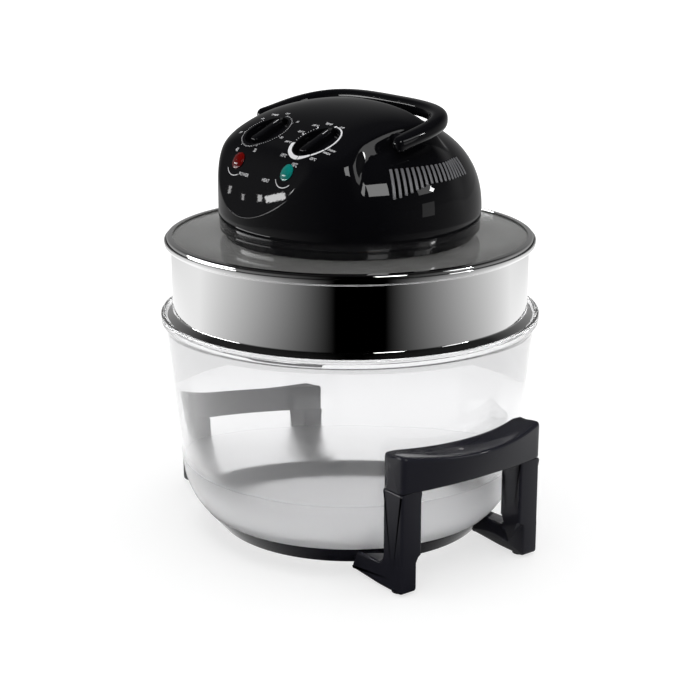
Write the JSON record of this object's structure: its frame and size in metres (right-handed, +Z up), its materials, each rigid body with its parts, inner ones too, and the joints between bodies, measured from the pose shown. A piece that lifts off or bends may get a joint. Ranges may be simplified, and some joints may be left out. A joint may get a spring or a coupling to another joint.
{
  "type": "turbo convection oven",
  "caption": "Countertop turbo convection oven: a deep glass bowl in a black stand, a steel extender ring, and a lift-off glass lid with a black heater head, dials and a folding handle.",
  "frame": {"origin": "middle of the footprint at table level", "axes": "+Z up, the control panel faces -Y, the grips are at -X and +X"},
  "size_m": [0.365, 0.33, 0.3787],
  "materials": {
    "stand_black": "glossy black moulded plastic",
    "gloss_black": "glossy black heat resistant plastic",
    "clear_glass": "clear tempered glass",
    "smoked_glass": "lightly smoked tempered glass",
    "polished_steel": "bright polished stainless steel",
    "pressed_steel": "plain pressed steel",
    "silicone": "grey silicone seal",
    "rubber": "soft black rubber",
    "red_lens": "clear red plastic",
    "green_lens": "clear green plastic",
    "cream_plastic": "cream moulded plastic",
    "copper": "bare and enamelled copper",
    "quartz": "clear quartz tube",
    "ceramic": "white ceramic",
    "laminations": "stacked steel laminations",
    "brass": "turned brass and bronze"
  },
  "bodies": {
    "stand": {"stand_frame": "stand_black", "left_grip": "stand_black", "right_grip": "stand_black", "front_left_grip_stud": "pressed_steel", "front_right_grip_stud": "pressed_steel", "rear_left_grip_stud": "pressed_steel", "rear_right_grip_stud": "pressed_steel", "front_left_foot_pad": "rubber", "front_right_foot_pad": "rubber", "rear_left_foot_pad": "rubber", "rear_right_foot_pad": "rubber"},
    "bowl": {"glass_bowl": "clear_glass"},
    "extender": {"extender_ring": "polished_steel"},
    "lid": {"thermostat_body": "pressed_steel", "heater_pan": "pressed_steel", "pan_screw_1": "pressed_steel", "pan_screw_2": "pressed_steel", "pan_screw_3": "pressed_steel", "pan_screw_4": "pressed_steel", "rear_lamp_clip": "pressed_steel", "front_lamp_clip": "pressed_steel", "guard_shroud": "pressed_steel", "lamp_guard": "pressed_steel", "motor_mount": "pressed_steel", "lower_bearing_bracket": "pressed_steel", "upper_bearing_bracket": "pressed_steel", "lid_rim": "polished_steel", "lid_glass": "smoked_glass", "lid_gasket": "silicone", "head_base": "gloss_black", "head_cover": "gloss_black", "mains_inlet": "gloss_black", "power_lens": "red_lens", "heat_lens": "green_lens", "power_lamp_holder": "cream_plastic", "heat_lamp_holder": "cream_plastic", "timer_mechanism": "cream_plastic", "safety_switch": "cream_plastic", "thermostat_bulb": "copper", "capillary_tube": "copper", "motor_coil": "copper", "halogen_lamp": "quartz", "front_lamp_socket": "ceramic", "rear_lamp_socket": "ceramic", "terminal_block": "ceramic", "motor_stator": "laminations", "lower_bush": "brass", "upper_bush": "brass"},
    "handle": {"carry_handle": "gloss_black", "left_pivot_pin": "pressed_steel", "right_pivot_pin": "pressed_steel"},
    "timer": {"timer_knob": "gloss_black", "timer_spindle": "brass"},
    "temperature": {"temperature_knob": "gloss_black", "thermostat_spindle": "brass"},
    "fan": {"fan_shaft": "pressed_steel", "motor_rotor": "laminations", "cooling_fan": "pressed_steel", "convection_fan": "pressed_steel"}
  },
  "joints": [
    {"name": "bowl_lift", "type": "slide", "parent": "stand", "child": "bowl", "axis": [0, 0, 1], "range_m": [0, 0.12]},
    {"name": "extender_lift", "type": "slide", "parent": "bowl", "child": "extender", "axis": [0, 0, 1], "range_m": [0, 0.08]},
    {"name": "lid_lift", "type": "slide", "parent": "extender", "child": "lid", "axis": [0, 0, 1], "range_m": [0, 0.12]},
    {"name": "handle_fold", "type": "hinge", "parent": "lid", "child": "handle", "pos_m": [0, -0.015, 0.3575], "axis": [1, 0, 0], "range_deg": [0, 90]},
    {"name": "timer_turn", "type": "hinge", "parent": "lid", "child": "timer", "pos_m": [-0.0352, -0.0617, 0.3541], "axis": [0, -0.4462, 0.8949], "range_deg": [-300, 0]},
    {"name": "temperature_turn", "type": "hinge", "parent": "lid", "child": "temperature", "pos_m": [0.0352, -0.0617, 0.3541], "axis": [0, -0.4462, 0.8949], "range_deg": [-270, 0]},
    {"name": "fan_spin", "type": "hinge", "parent": "lid", "child": "fan", "pos_m": [0, 0, 0.2985], "axis": [0, 0, 1], "continuous": true}
  ]
}
